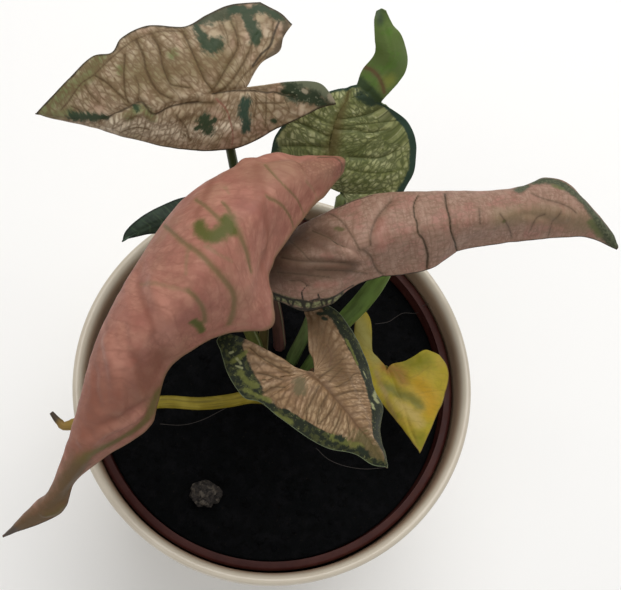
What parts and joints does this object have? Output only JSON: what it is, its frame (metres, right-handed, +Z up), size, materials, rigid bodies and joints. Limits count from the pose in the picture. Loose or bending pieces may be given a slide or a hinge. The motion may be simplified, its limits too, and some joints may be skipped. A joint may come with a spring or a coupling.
{
  "type": "potted syngonium",
  "caption": "Young arrow-leaved aroid with pink, cream and green leaves on slender stalks, in a plastic nursery pot set in a cream glazed cachepot.",
  "frame": {"origin": "middle of the cachepot's flat foot, on the surface it stands on", "axes": "+Z up, +X to the right and +Y to the back as the picture looks at the pot"},
  "size_m": [0.1869, 0.1687, 0.2193],
  "materials": {
    "glaze": "smooth cream glaze, softly glossy",
    "nursery_plastic": "moulded maroon-brown plastic, satin",
    "soil": "damp dark peat, crumbly and matt",
    "perlite": "rough grey-brown mineral lump",
    "pink_leaf": "salmon-pink leaf with fine veins, satin",
    "variegated_leaf": "cream and pink leaf with brown-green veins and dark green margins, satin",
    "green_leaf": "green leaf with a net of veins round paler cells, satin",
    "dark_leaf": "plain dark blue-green leaf, satin",
    "yellow_leaf": "fading mustard-yellow leaf with green patches, satin"
  },
  "bodies": {
    "root": {"cachepot": "glaze", "nursery_pot": "nursery_plastic", "potting_soil": "soil", "perlite_lump": "perlite", "leaf_left_pink": "pink_leaf", "leaf_right_pink": "pink_leaf", "leaf_upper_left": "variegated_leaf", "leaf_centre_green": "green_leaf", "leaf_dark_green": "dark_leaf", "leaf_lower_arrow": "variegated_leaf", "leaf_yellow": "yellow_leaf", "stalk_yellow": "yellow_leaf"}
  },
  "joints": []
}
